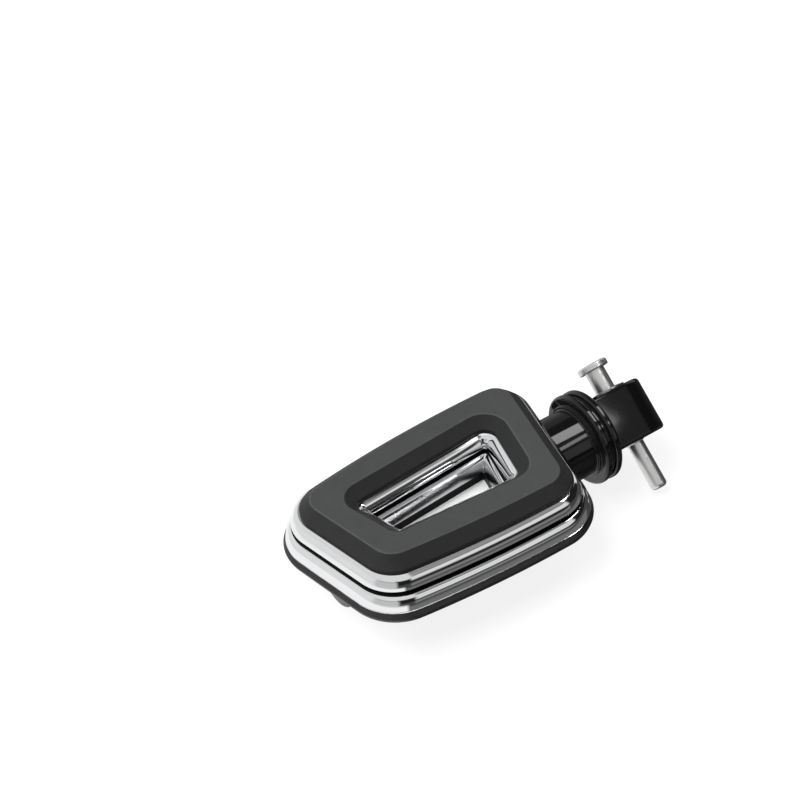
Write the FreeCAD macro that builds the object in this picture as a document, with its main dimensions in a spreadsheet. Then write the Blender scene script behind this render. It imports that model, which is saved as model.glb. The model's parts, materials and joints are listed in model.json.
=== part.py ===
import FreeCAD, Part
import math
import os
import re
import Sketcher
from FreeCAD import Placement, Rotation, Vector

# Folding passenger foot peg for a motorcycle, in millimetres.
# The origin is the middle of the fold pin's lower journal, +X runs out to the tip of the peg,
# +Y is to the rear and +Z is up, square to the flat top of the rubber tread.
# Each piece is drawn about the point where the pin crosses the stem axis, then set in that frame.

SIZES = {
    # Tread, seen from above about tread_centre on the stem axis
    "tread_centre": 86.0,
    "side_half": 25.2,
    "side_taper": 4.65,
    "side_bow_radius": 450.0,
    "tip_end": 37.4,
    "tip_end_angle": 15.2,
    "root_end": 42.1,
    "root_end_angle": 11.8,
    "corner_tip_rear": 8.5,
    "corner_tip_front": 7.2,
    "corner_root_rear": 7.5,
    "corner_root_front": 6.2,
    # Window in the tread, at its top edge
    "window_half": 16.6,
    "window_taper": 3.9,
    "window_tip": 28.9,
    "window_tip_angle": 18.3,
    "window_root": 34.6,
    "window_root_angle": 12.6,
    "window_corner_tip_rear": 5.4,
    "window_corner_tip_front": 7.8,
    "window_corner_root_rear": 9.1,
    "window_corner_root_front": 9.9,
    "window_foot_corner": 0.6,
    # Rubber tread, depths down from its flat top and spreads out from its top edge
    "bevel_spread": 4.5,
    "bevel_depth": 4.4,
    "tread_depth": 5.6,
    "stem_cover": 0.9,
    "lug_long": 7.0,
    "lug_across": 4.6,
    "lug_depth": 5.0,
    "lug_clearance": 0.1,
    "lug_pitch_long": 58.0,
    "lug_pitch_cross": 42.0,
    # Two bright ridges with a groove between them
    "ridge_spread": 5.3,
    "crest_spread": 7.1,
    "crest_depth": 7.3,
    "ridge_foot_spread": 8.5,
    "ridge_foot_depth": 10.6,
    "groove_sink": 1.1,
    "groove_chamfer": 0.3,
    "lower_ridge_spread": 8.8,
    "lower_ridge_depth": 12.8,
    "lower_crest_spread": 10.3,
    "lower_crest_depth": 14.6,
    "lower_foot_spread": 11.5,
    "lower_foot_depth": 18.7,
    # Floor of the window
    "floor_drop": 3.8,
    "floor_thickness": 2.0,
    "floor_wall": 2.4,
    # Underside
    "base_spread": 12.7,
    "base_swell_drop": 1.7,
    "base_foot_spread": 10.6,
    "base_drop": 4.8,
    "hub_radius": 13.8,
    "hub_tip": 46.5,
    "hub_end_chamfer": 1.0,
    # Fastenings under the tread
    "screw_pitch_cross": 46.0,
    "screw_radius": 2.5,
    "screw_head_radius": 4.3,
    "screw_head_height": 2.7,
    "screw_tip_gap": 1.9,
    "screw_socket": 1.5,
    "screw_socket_depth": 1.8,
    "screw_clearance": 0.15,
    "set_screw_radius": 2.5,
    "set_screw_socket": 1.25,
    "set_screw_socket_depth": 3.0,
    "set_screw_pitch": 7.0,
    "set_screw_place": 47.5,
    # Stem with its collar and tongue
    "shaft_radius": 13.8,
    "shaft_seat": 40.5,
    "spigot_radius": 8.0,
    "spigot_end": 54.0,
    "seat_clearance": 0.1,
    "collar_radius": 18.6,
    "collar_front": 21.8,
    "collar_width": 7.6,
    "collar_groove_width": 1.6,
    "collar_groove_depth": 1.8,
    "collar_lip_chamfer": 0.8,
    "collar_step": 1.2,
    "tongue_thickness": 22.0,
    "tongue_half_height": 13.0,
    "tongue_edge_chamfer": 1.0,
    # Fold pin and its spring washer
    "pin_tilt": 37.4,
    "journal_radius": 3.25,
    "shank_radius": 4.0,
    "shank_clearance": 0.05,
    "shoulder_gap": 0.3,
    "pin_end": 31.0,
    "pin_end_chamfer": 1.0,
    "pin_head_radius": 6.2,
    "pin_head_chamfer": 0.6,
    "pin_head_height": 2.6,
    "bracket_arm": 9.0,
    "washer_radius": 7.6,
    "washer_bore_play": 0.25,
    "washer_thickness": 0.7,
    "washer_dish": 0.5,
    "washer_gap": 0.15,
}

# Sizes that follow from the ones above
DERIVED = {
    "top_height": "shaft_radius + tread_depth + stem_cover",
    "floor_depth": "lower_foot_depth + floor_drop",
    "base_swell_depth": "lower_foot_depth + base_swell_drop",
    "base_depth": "lower_foot_depth + base_drop",
    "screw_length": "base_depth - tread_depth - lug_depth - screw_tip_gap",
    "journal_start": "tongue_thickness / 2 + shoulder_gap",
    "journal_middle": "(journal_start + pin_end - pin_end_chamfer) / 2",
}
WORDS = {**SIZES, **DERIVED}

doc = FreeCAD.newDocument("passenger_peg")
sheet = doc.addObject("Spreadsheet::Sheet", "Sheet")
for row, (alias, size) in enumerate(WORDS.items(), start=1):
    sheet.set(f"A{row}", alias)
    sheet.set(f"B{row}", f"={size}")
    sheet.setAlias(f"B{row}", alias)
doc.recompute()


def link(text):
    """An expression in the sheet's words, with each word made a reference to the sheet."""
    return re.sub(r"[a-z]\w*", lambda word: "Sheet." + word[0] if word[0] in WORDS else word[0], text)


def value(text):
    """The number that an expression in the sheet's words gives."""
    return float(sheet.evalExpression(link(text)))


def bind(target, field, text):
    target.setExpression(field, link(text))


def plane_of(body, role):
    return [feature for feature in body.Origin.OriginFeatures if feature.Role == role][0]


def new_body(label):
    body = doc.addObject("PartDesign::Body", label)
    body.Label = label
    return body


def new_sketch(body, name, role="XY_Plane", offset=(None, None, None)):
    """A sketch on one of the body's origin planes, moved by expressions along the sketch axes."""
    sketch = body.newObject("Sketcher::SketchObject", name)
    sketch.AttachmentSupport = [(plane_of(body, role), "")]
    sketch.MapMode = "FlatFace"
    for axis, text in zip("xyz", offset):
        if text is not None:
            bind(sketch, f"AttachmentOffset.Base.{axis}", text)
    return sketch


def dimension(sketch, kind, where, text):
    """Adds one driving dimension and ties it to an expression."""
    index = sketch.addConstraint(Sketcher.Constraint(kind, *where, value(text)))
    bind(sketch, f"Constraints[{index}]", text)


def angle_dimension(sketch, line, text):
    index = sketch.addConstraint(Sketcher.Constraint("Angle", line, math.radians(value(text))))
    sketch.setExpression(f"Constraints[{index}]", f"({link(text)}) * 1 deg")


def polygon(sketch, points):
    """A closed outline of straight edges, each corner placed by two expressions."""
    corners = [Vector(value(across), value(up), 0) for across, up in points]
    edges = [sketch.addGeometry(Part.LineSegment(start, end), False)
             for start, end in zip(corners, corners[1:] + corners[:1])]
    for before, edge, (across, up) in zip(edges[-1:] + edges[:-1], edges, points):
        sketch.addConstraint(Sketcher.Constraint("Coincident", before, 2, edge, 1))
        dimension(sketch, "DistanceX", (-1, 1, edge, 1), across)
        dimension(sketch, "DistanceY", (-1, 1, edge, 1), up)


def circle(sketch, across, up, radius):
    centre = Vector(value(across), value(up), 0)
    index = sketch.addGeometry(Part.Circle(centre, Vector(0, 0, 1), value(radius)), False)
    dimension(sketch, "DistanceX", (-1, 1, index, 3), across)
    dimension(sketch, "DistanceY", (-1, 1, index, 3), up)
    dimension(sketch, "Radius", (index,), radius)


# The four-sided outlines
# Each runs round from the tip end: tip, corner, rear side, corner, root, corner, front side, corner.

OUTER = {
    "half": "side_half",
    "taper": "side_taper",
    "tip": "tip_end",
    "tip_angle": "tip_end_angle",
    "root": "root_end",
    "root_angle": "root_end_angle",
    "corners": ("corner_tip_rear", "corner_root_rear", "corner_root_front", "corner_tip_front"),
    "bow": "side_bow_radius",
}
WINDOW = {
    "half": "window_half",
    "taper": "window_taper",
    "tip": "window_tip",
    "tip_angle": "window_tip_angle",
    "root": "window_root",
    "root_angle": "window_root_angle",
    "corners": (
        "window_corner_tip_rear",
        "window_corner_root_rear",
        "window_corner_root_front",
        "window_corner_tip_front",
    ),
    "bow": None,
}
CAST_WINDOW = dict(WINDOW, corners=("(window_foot_corner + lower_foot_spread)",) * 4)


def corner_centre(first, second, radius):
    """The centre of a corner between two sides, each given as an angle and a distance."""
    (angle_a, reach_a), (angle_b, reach_b) = first, second
    turn = math.sin(angle_b - angle_a)
    near_a = reach_a - radius
    near_b = reach_b - radius
    across = (near_a * math.sin(angle_b) - near_b * math.sin(angle_a)) / turn
    up = (near_b * math.cos(angle_a) - near_a * math.cos(angle_b)) / turn
    return Vector(across, up, 0)


def outline(body, name, shape, depth, spread):
    """One level of a four-sided outline: spread grows it evenly, depth is down from the top."""
    sketch = new_sketch(body, name, offset=("tread_centre", None, f"top_height - ({depth})"))
    sides = [
        (f"{shape['tip_angle']}", f"{shape['tip']} + ({spread})"),
        (f"90 - {shape['taper']}", f"{shape['half']} + ({spread})"),
        (f"180 - {shape['root_angle']}", f"{shape['root']} + ({spread})"),
        (f"270 + {shape['taper']}", f"{shape['half']} + ({spread})"),
    ]
    radii = [f"{corner} + ({spread})" for corner in shape["corners"]]
    measured = [(math.radians(value(angle)), value(reach)) for angle, reach in sides]
    measured.append((measured[0][0] + 2 * math.pi, measured[0][1]))
    centres = [corner_centre(measured[i], measured[i + 1], value(radii[i])) for i in range(4)]

    def touch(corner, side):
        angle = measured[side][0]
        return centres[corner] + Vector(math.cos(angle), math.sin(angle), 0) * value(radii[corner])

    for side in range(4):
        start = touch(side - 1, side)
        end = touch(side, side)
        bowed = shape["bow"] is not None and side in (1, 3)
        if bowed:
            angle, reach = measured[side]
            bow = value(f"{shape['bow']} + ({spread})")
            hub = Vector(math.cos(angle), math.sin(angle), 0) * (reach - bow)
            middle = Vector(math.cos(angle), math.sin(angle), 0) * reach
            edge = Part.Arc(start - (start - hub) * (1 - bow / (start - hub).Length), middle,
                            end - (end - hub) * (1 - bow / (end - hub).Length))
            sketch.addGeometry(edge, False)
        else:
            sketch.addGeometry(Part.LineSegment(start, end), False)
        ring = Part.Circle(centres[side], Vector(0, 0, 1), value(radii[side]))
        sketch.addGeometry(Part.ArcOfCircle(ring, measured[side][0], measured[side + 1][0]), False)
    for index in range(8):
        sketch.addConstraint(Sketcher.Constraint("Tangent", index, 2, (index + 1) % 8, 1))
    for side, (angle, reach) in enumerate(sides):
        edge = 2 * side
        if shape["bow"] is not None and side in (1, 3):
            bow = f"{shape['bow']} + ({spread})"
            dimension(sketch, "Radius", (edge,), bow)
            lean = f"({shape['bow']} - {shape['half']})"
            sign = "-" if side == 1 else ""
            dimension(sketch, "DistanceX", (-1, 1, edge, 3), f"-{lean} * sin({shape['taper']} * 1 deg)")
            dimension(sketch, "DistanceY", (-1, 1, edge, 3), f"{sign}{lean} * cos({shape['taper']} * 1 deg)")
        else:
            heading = {0: f"90 + {angle}", 1: f"180 - {shape['taper']}",
                       2: f"{angle} + 90", 3: f"{shape['taper']}"}[side]
            angle_dimension(sketch, edge, heading)
            dimension(sketch, "Distance", (-1, 1, edge), reach)
        dimension(sketch, "Radius", (edge + 1,), radii[side])
    return sketch


def loft(body, name, kind, shape, levels):
    """A solid with flat bands between levels, each level a depth and a spread."""
    sketches = [outline(body, f"{name}{step}", shape, *level) for step, level in enumerate(levels)]
    feature = body.newObject(f"PartDesign::{kind}", name)
    feature.Profile = sketches[0]
    feature.Sections = sketches[1:]
    feature.Ruled = True
    return feature


def mirrored(levels):
    """The same levels stepping into the window."""
    return [(depth, f"-({spread})") for depth, spread in levels]


def bevel_edges(body, name, names, size):
    feature = body.newObject("PartDesign::Chamfer", name)
    feature.Base = (body.Tip if body.Tip != feature else feature.BaseFeature, names)
    bind(feature, "Size", size)
    return feature


def pocket(body, name, sketch, length, outward=False):
    feature = body.newObject("PartDesign::Pocket", name)
    feature.Profile = sketch
    bind(feature, "Length", length)
    feature.Reversed = outward
    return feature


def bore(body, name, radius, start, length, towards, offset=("0", "0")):
    """Cuts a round hole of one radius from a start along +X or +Z, with its axis offset across."""
    feature = body.newObject("PartDesign::SubtractiveCylinder", name)
    bind(feature, "Radius", radius)
    bind(feature, "Height", length)
    along_x = towards == "x"
    feature.Placement = Placement(Vector(), Rotation(Vector(0, 1, 0), 90 if along_x else 0))
    place = (start, *offset) if along_x else (*offset, start)
    for axis, text in zip("xyz", place):
        bind(feature, f"Placement.Base.{axis}", text)
    return feature


LUG_CORNERS = [(along, across) for along in ("-", "") for across in ("-", "")]
SCREW_PLACES = [("tread_centre", f"{across}screw_pitch_cross / 2") for across in ("-", "")]
SET_SCREW_PLACES = [f"set_screw_place + {along}set_screw_pitch / 2" for along in ("-", "")]


def lug_outlines(body, name, clearance="0"):
    """The four moulded lugs as rectangles on the tread's underside, grown by a clearance."""
    sketch = new_sketch(body, name, offset=("tread_centre", None, "top_height - tread_depth"))
    corners = []
    for along, across in LUG_CORNERS:
        for far, wide in (("-", "-"), ("+", "-"), ("+", "+"), ("-", "+")):
            corners.append((f"{along}lug_pitch_long / 2 {far} (lug_long / 2 + {clearance})",
                            f"{across}lug_pitch_cross / 2 {wide} (lug_across / 2 + {clearance})"))
    for start in range(0, len(corners), 4):
        polygon(sketch, corners[start:start + 4])
    return sketch


def tread_pad():
    """Rubber ring with wide bevels, held by moulded lugs in the casting."""
    body = new_body("tread_pad")
    levels = [("0", "0"), ("bevel_depth", "bevel_spread"), ("tread_depth", "bevel_spread")]
    loft(body, "PadBlock", "AdditiveLoft", OUTER, levels)
    pad = body.newObject("PartDesign::Pad", "Lugs")
    pad.Profile = lug_outlines(body, "LugOutlines")
    bind(pad, "Length", "lug_depth")
    pad.Reversed = True
    loft(body, "PadWindow", "SubtractiveLoft", WINDOW, mirrored(levels))
    return body


RIDGES = [
    ("tread_depth", "ridge_spread"),
    ("crest_depth", "crest_spread"),
    ("ridge_foot_depth", "ridge_foot_spread"),
    ("ridge_foot_depth + groove_chamfer", "ridge_foot_spread - groove_sink"),
    ("lower_ridge_depth - groove_chamfer", "ridge_foot_spread - groove_sink"),
    ("lower_ridge_depth", "lower_ridge_spread"),
    ("lower_crest_depth", "lower_crest_spread"),
    ("lower_foot_depth", "lower_foot_spread"),
]


def stem_seat(body):
    """The stepped socket that the two castings close round the end of the stem."""
    bore(body, "ShaftSeat", "shaft_radius + seat_clearance", "collar_front", "shaft_seat - collar_front", "x")
    bore(body, "SpigotSeat", "spigot_radius + seat_clearance", "collar_front",
         "spigot_end + seat_clearance - collar_front", "x")


def ridge_casting():
    """Bright casting: two ridges outside, the same two down the window, and the window's floor."""
    body = new_body("ridge_casting")
    loft(body, "CastBlock", "AdditiveLoft", OUTER, RIDGES)
    trough = outline(body, "FloorOutline", CAST_WINDOW, "lower_foot_depth", "floor_wall - lower_foot_spread")
    pad = body.newObject("PartDesign::Pad", "Floor")
    pad.Profile = trough
    bind(pad, "Length", "floor_depth + floor_thickness - lower_foot_depth")
    pad.Reversed = True
    cut = mirrored(RIDGES) + [("floor_depth", "-lower_foot_spread")]
    loft(body, "CastWindow", "SubtractiveLoft", CAST_WINDOW, cut)
    pocket(body, "LugPockets", lug_outlines(body, "LugHoles", "lug_clearance"), "lug_depth + lug_clearance")
    stem_seat(body)
    for index, place in enumerate(SCREW_PLACES):
        bore(body, f"ScrewHole{index}", "screw_radius", "top_height - base_depth",
             "screw_length + screw_clearance", "z", place)
    return body


def base_casting():
    """Black underside with a half-round hub along the stem axis."""
    body = new_body("base_casting")
    section = new_sketch(body, "HubSection", "YZ_Plane", (None, None, "shaft_seat"))
    circle(section, "0", "0", "hub_radius")
    hub = body.newObject("PartDesign::Pad", "Hub")
    hub.Profile = section
    bind(hub, "Length", "tread_centre + hub_tip - shaft_seat")
    doc.recompute()
    tip_rim = [
        f"Edge{index}" for index, edge in enumerate(body.Shape.Edges, start=1)
        if edge.BoundBox.XMin > value("tread_centre + hub_tip - 0.1")
    ]
    bevel_edges(body, "HubEnd", tip_rim, "hub_end_chamfer")
    split = new_sketch(body, "SplitLevel", offset=(None, None, "top_height - lower_foot_depth"))
    polygon(split, [
        ("0", "-2 * hub_radius"),
        ("2 * tread_centre", "-2 * hub_radius"),
        ("2 * tread_centre", "2 * hub_radius"),
        ("0", "2 * hub_radius"),
    ])
    pocket(body, "HubTop", split, "2 * hub_radius", outward=True)
    levels = [
        ("lower_foot_depth", "lower_foot_spread"),
        ("base_swell_depth", "base_spread"),
        ("base_depth", "base_foot_spread"),
    ]
    loft(body, "BasePlate", "AdditiveLoft", OUTER, levels)
    nest = outline(body, "FloorNest", CAST_WINDOW, "lower_foot_depth",
                   "floor_wall + seat_clearance - lower_foot_spread")
    pocket(body, "FloorRecess", nest, "floor_depth + floor_thickness + seat_clearance - lower_foot_depth")
    stem_seat(body)
    for index, place in enumerate(SCREW_PLACES):
        bore(body, f"ScrewHole{index}", "screw_radius + screw_clearance", "top_height - base_depth",
             "base_depth - lower_foot_depth", "z", place)
        bore(body, f"HeadRecess{index}", "screw_head_radius + screw_clearance", "top_height - base_depth",
             "screw_head_height", "z", place)
    for index, place in enumerate(SET_SCREW_PLACES):
        bore(body, f"SetScrewHole{index}", "set_screw_radius", "-hub_radius", "hub_radius", "z", (place, "0"))
    return body


def mount_stem():
    """Black stem: shaft with a grooved collar, spigot in the castings, and the tongue that folds."""
    body = new_body("mount_stem")
    collar_back = "collar_front - collar_width"
    groove_side = "(collar_width - collar_groove_width) / 2"
    groove_floor = "collar_radius - collar_groove_depth"
    lip = "collar_radius - collar_lip_chamfer"
    section = new_sketch(body, "StemSection", "XZ_Plane")
    polygon(section, [
        (f"{collar_back} - collar_step", "0"),
        (f"{collar_back} - collar_step", "spigot_radius"),
        (collar_back, "spigot_radius"),
        (collar_back, lip),
        (f"{collar_back} + collar_lip_chamfer", "collar_radius"),
        (f"{collar_back} + {groove_side}", "collar_radius"),
        (f"{collar_back} + {groove_side}", groove_floor),
        (f"collar_front - {groove_side}", groove_floor),
        (f"collar_front - {groove_side}", "collar_radius"),
        ("collar_front - collar_lip_chamfer", "collar_radius"),
        ("collar_front", lip),
        ("collar_front", "shaft_radius"),
        ("shaft_seat", "shaft_radius"),
        ("shaft_seat", "spigot_radius"),
        ("spigot_end", "spigot_radius"),
        ("spigot_end", "0"),
    ])
    turned = body.newObject("PartDesign::Revolution", "Turned")
    turned.Profile = section
    turned.ReferenceAxis = (section, ["H_Axis"])
    turned.Angle = 360
    blade = new_sketch(body, "TongueBlade", "XZ_Plane")
    polygon(blade, [
        ("0", "-tongue_half_height"),
        (f"{collar_back} + collar_step", "-tongue_half_height"),
        (f"{collar_back} + collar_step", "tongue_half_height"),
        ("0", "tongue_half_height"),
    ])
    eye = new_sketch(body, "TongueEye", "XZ_Plane")
    circle(eye, "0", "0", "tongue_half_height")
    hole = new_sketch(body, "PinHole", "XZ_Plane")
    circle(hole, "0", "0", "shank_radius + shank_clearance")
    for name, profile in (("Blade", blade), ("Eye", eye)):
        pad = body.newObject("PartDesign::Pad", name)
        pad.Profile = profile
        pad.SideType = "Symmetric"
        bind(pad, "Length", "tongue_thickness")
    doc.recompute()
    rims = [
        f"Edge{index}" for index, edge in enumerate(body.Shape.Edges, start=1)
        if abs(abs(edge.CenterOfMass.y) - value("tongue_thickness / 2")) < 0.01
        and edge.BoundBox.YLength < 0.01 and edge.CenterOfMass.x < value(collar_back) - 0.5
    ]
    bevel_edges(body, "TongueBevels", rims, "tongue_edge_chamfer")
    cut = body.newObject("PartDesign::Pocket", "PinBore")
    cut.Profile = hole
    cut.SideType = "Symmetric"
    bind(cut, "Length", "2 * tongue_thickness")
    tilt_with_pin(body)
    return body


def tilt_with_pin(body):
    """Turns a piece built with the fold pin along Y to the pin's real slant."""
    body.Placement = Placement(Vector(), Rotation(Vector(-1, 0, 0), value("pin_tilt")))
    bind(body, "Placement.Rotation.Angle", "pin_tilt")


def set_in_frame(piece):
    """Moves a finished piece so that the origin is the middle of the pin's lower journal."""
    bind(piece, "Placement.Base.y", "-journal_middle * cos(pin_tilt * 1 deg)")
    bind(piece, "Placement.Base.z", "journal_middle * sin(pin_tilt * 1 deg)")


WASHER_REST = "(tongue_thickness / 2 + washer_gap)"


def clevis_pin():
    """Headed fold pin with a stouter shank in the tongue and a plain journal at its lower end."""
    body = new_body("clevis_pin")
    seat = f"-({WASHER_REST} + washer_dish + washer_thickness + bracket_arm)"
    section = new_sketch(body, "PinSection", "XY_Plane")
    polygon(section, [
        ("0", f"{seat} - pin_head_height"),
        ("pin_head_radius - pin_head_chamfer", f"{seat} - pin_head_height"),
        ("pin_head_radius", f"{seat} - pin_head_height + pin_head_chamfer"),
        ("pin_head_radius", seat),
        ("shank_radius", seat),
        ("shank_radius", "journal_start"),
        ("journal_radius", "journal_start"),
        ("journal_radius", "pin_end - pin_end_chamfer"),
        ("journal_radius - pin_end_chamfer", "pin_end"),
        ("0", "pin_end"),
    ])
    turned = body.newObject("PartDesign::Revolution", "Turned")
    turned.Profile = section
    turned.ReferenceAxis = (section, ["V_Axis"])
    turned.Angle = 360
    tilt_with_pin(body)
    return body


def spring_washer():
    """Dished washer that loads the tongue between the bracket's arms."""
    body = new_body("spring_washer")
    bore_edge = "shank_radius + washer_bore_play"
    section = new_sketch(body, "WasherSection", "XY_Plane")
    polygon(section, [
        ("washer_radius", f"-{WASHER_REST}"),
        ("washer_radius", f"-{WASHER_REST} - washer_thickness"),
        (bore_edge, f"-{WASHER_REST} - washer_thickness - washer_dish"),
        (bore_edge, f"-{WASHER_REST} - washer_dish"),
    ])
    turned = body.newObject("PartDesign::Revolution", "Turned")
    turned.Profile = section
    turned.ReferenceAxis = (section, ["V_Axis"])
    turned.Angle = 360
    tilt_with_pin(body)
    return body


def rod(name, radius, height, place):
    """An upright cylinder standing on a place given by three expressions."""
    post = doc.addObject("Part::Cylinder", name)
    bind(post, "Radius", radius)
    bind(post, "Height", height)
    for axis, text in zip("xyz", place):
        bind(post, f"Placement.Base.{axis}", text)
    return post


def socketed(name, blank, flats, depth, place):
    """Cuts a hexagon socket up into a screw from below."""
    key = doc.addObject("Part::Prism", f"{name}Key")
    key.Polygon = 6
    bind(key, "Circumradius", f"{flats} / cos(30 * 1 deg)")
    bind(key, "Height", depth)
    for axis, text in zip("xyz", place):
        bind(key, f"Placement.Base.{axis}", text)
    screw = doc.addObject("Part::Cut", name)
    screw.Base = blank
    screw.Tool = key
    return screw


def group(label, pieces):
    """Identical fasteners kept together as one set of separate solids."""
    bundle = doc.addObject("Part::Compound", label)
    bundle.Label = label
    bundle.Links = pieces
    return bundle


def base_screws():
    """Two socket screws that clamp the base to the ridge casting."""
    screws = []
    for index, (along, across) in enumerate(SCREW_PLACES):
        foot = (along, across, "top_height - base_depth + screw_clearance")
        head = rod(f"ScrewHead{index}", "screw_head_radius", "screw_head_height - screw_clearance", foot)
        shank = rod(f"ScrewShank{index}", "screw_radius", "screw_length - screw_clearance", foot)
        blank = doc.addObject("Part::Fuse", f"ScrewBlank{index}")
        blank.Base = head
        blank.Tool = shank
        screws.append(socketed(f"BaseScrew{index}", blank, "screw_socket", "screw_socket_depth", foot))
    return group("base_screws", screws)


def stem_set_screws():
    """Two set screws in the hub that lock the spigot."""
    screws = []
    for index, along in enumerate(SET_SCREW_PLACES):
        foot = (along, "0", "-hub_radius + screw_clearance")
        length = "hub_radius - screw_clearance - spigot_radius"
        blank = rod(f"SetBlank{index}", "set_screw_radius", length, foot)
        screws.append(socketed(f"SetScrew{index}", blank, "set_screw_socket", "set_screw_socket_depth", foot))
    return group("stem_set_screws", screws)


SUBPARTS = [
    build()
    for build in (
        tread_pad,
        ridge_casting,
        base_casting,
        mount_stem,
        clevis_pin,
        spring_washer,
        base_screws,
        stem_set_screws,
    )
]
for piece in SUBPARTS:
    set_in_frame(piece)
doc.recompute()

failed = [thing.Name for thing in doc.Objects if {"Invalid", "Error"} & set(thing.State)]
if failed:
    raise RuntimeError(f"these features failed: {failed}")
for piece in SUBPARTS:
    if piece.Shape.isNull() or not piece.Shape.isValid():
        raise RuntimeError(f"{piece.Label} has no valid shape")

os.makedirs("parts", exist_ok=True)
for piece in SUBPARTS:
    piece.Shape.exportStep(f"parts/{piece.Label}.step")
    box = piece.Shape.BoundBox
    print(piece.Label, len(piece.Shape.Solids), round(piece.Shape.Volume, 1), box)
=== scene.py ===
import json
import math

import bmesh
import bpy
import numpy as np
from bpy.props import FloatProperty, FloatVectorProperty, PointerProperty
from mathutils import Matrix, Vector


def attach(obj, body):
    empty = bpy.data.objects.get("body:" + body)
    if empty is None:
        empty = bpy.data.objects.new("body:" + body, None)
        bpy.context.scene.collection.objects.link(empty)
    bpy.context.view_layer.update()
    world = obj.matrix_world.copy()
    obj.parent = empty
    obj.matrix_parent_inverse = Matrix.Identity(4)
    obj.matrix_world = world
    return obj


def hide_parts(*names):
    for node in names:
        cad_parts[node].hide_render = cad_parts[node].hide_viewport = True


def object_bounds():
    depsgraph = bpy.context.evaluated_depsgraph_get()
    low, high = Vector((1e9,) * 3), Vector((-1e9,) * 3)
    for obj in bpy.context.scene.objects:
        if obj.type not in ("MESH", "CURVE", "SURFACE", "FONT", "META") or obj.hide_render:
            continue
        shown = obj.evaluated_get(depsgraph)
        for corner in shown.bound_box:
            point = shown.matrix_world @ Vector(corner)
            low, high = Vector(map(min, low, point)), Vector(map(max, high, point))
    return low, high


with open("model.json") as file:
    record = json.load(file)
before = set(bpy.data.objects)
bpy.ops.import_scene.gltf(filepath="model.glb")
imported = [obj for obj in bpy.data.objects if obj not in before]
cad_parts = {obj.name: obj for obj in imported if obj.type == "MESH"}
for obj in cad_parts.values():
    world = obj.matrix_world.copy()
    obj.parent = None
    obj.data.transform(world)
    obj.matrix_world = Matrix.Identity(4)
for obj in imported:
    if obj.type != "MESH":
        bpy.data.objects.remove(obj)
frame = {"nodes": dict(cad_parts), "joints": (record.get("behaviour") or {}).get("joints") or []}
CAD_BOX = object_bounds()

bl_info = {
    "name": "Passenger foot peg",
    "version": (1, 0, 0),
    "blender": (4, 5, 0),
    "location": "3D View > Sidebar > Foot Peg",
    "description": "Builds the looks of a folding passenger foot peg round its CAD frame",
    "category": "Object",
}

# The fold pin's line, down towards its free end, and the point on it that the stem axis crosses.
# The peg is drawn about that point, with x along the stem, and then moved to its place.
PIN_LINE = -np.array(frame["joints"][0]["axis"], float)
PIN_ACROSS = np.array([0.0, -PIN_LINE[2], PIN_LINE[1]])
JOURNAL_MIDDLE = 0.02065
STEM_CENTRE = -JOURNAL_MIDDLE * PIN_LINE

# Points along each side and round each corner of an outline: tip, rear, root, front
SIDE_STEPS, CORNER_STEPS = (22, 60, 22, 60), 22

# Corner radii in metres: tip rear, root rear, root front, tip front
TREAD_CORNERS = (0.0085, 0.0075, 0.0062, 0.0072)
WINDOW_CORNERS = (0.0054, 0.0091, 0.0099, 0.0078)

# Rubber tread: its bevel, its depth, the roundings below, and how far in its flats begin
BEVEL_SPREAD, BEVEL_DEPTH, TREAD_DEPTH = 0.0045, 0.0044, 0.0056
BEVEL_ROUND, TREAD_FOOT_ROUND, TREAD_LAND = 0.0005, 0.0002, 0.002

# Spread and depth of the bright ridges, the rounding at each turn and the swell of the run before
RIDGE_TURNS = [
    (0.0053, 0.0056, 0.00025, 0),
    (0.0071, 0.0073, 0.0002, 0.00011),
    (0.0085, 0.0106, 0.0003, 0.00016),
    (0.0074, 0.0109, 0.00012, 0),
    (0.0074, 0.0125, 0.00012, 0),
    (0.0088, 0.0128, 0.0003, 0),
    (0.0103, 0.0146, 0.0002, 0.00011),
    (0.0115, 0.0187, 0.0004, 0.00018),
]
WINDOW_SWELLS = (0, 0.00022, 0.00016, 0, 0, 0, 0.0002, 0.00006)
RIDGE_LAND, RIDGE_FOOT_LAND, WINDOW_STEP = 0.001, 0.008, 0.0047
GROOVE_SPAN = (0.0107, 0.0127)
LOWER_FOOT = 0.0187

# Floor of the window: the wall round it, its plate, its seen rim and the rounding of its edge,
# and the margin by which a face counts as floor
FLOOR_WALL, FLOOR_PLATE, FLOOR_LAND, FLOOR_ROUND = 0.0024, 0.002, 0.0006, 0.0003
FLOOR_MARGIN = 0.0001

# Spread, depth and rounding of the underside, how far in it begins, and the nest round the floor
BASE_TURNS = [
    (0.0112, 0.01875, 0.0002),
    (0.0127, 0.0204, 0.0012),
    (0.0122, 0.0222, 0.0016),
    (0.0106, 0.0235, 0.0014),
]
BASE_LAND, NEST_WALL = 0.004, 0.0025

# Round holes: radius, then the heights or the depth cut, then where they are
SCREW_HOLE, SCREW_SINK, SCREW_PLACE = 0.00445, 0.0027, 0.023
SET_SCREW_HOLE, SET_SCREW_CUT, SET_SCREW_PLACES = 0.0025, (-0.015, -0.008), (0.044, 0.051)

# Stem from the fold pin out: where the shaft meets the hub, the spigot in the hub, the step and
# the lips of the collar, and how far the tongue runs in, its roundings and its gap round the pin
SHAFT_SEAT, SPIGOT_END, SPIGOT_RADIUS = 0.0405, 0.054, 0.008
COLLAR_STEP, COLLAR_STEP_RUN = 0.0012, 0.0011
LIP_WIDTH, COLLAR_GROOVE = 0.0030, 0.0018
TONGUE_ROOT, TONGUE_ROUND, EYE_ROUND, EYE_GAP = 0.0012, 0.0015, 0.0004, 0.00005

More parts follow.
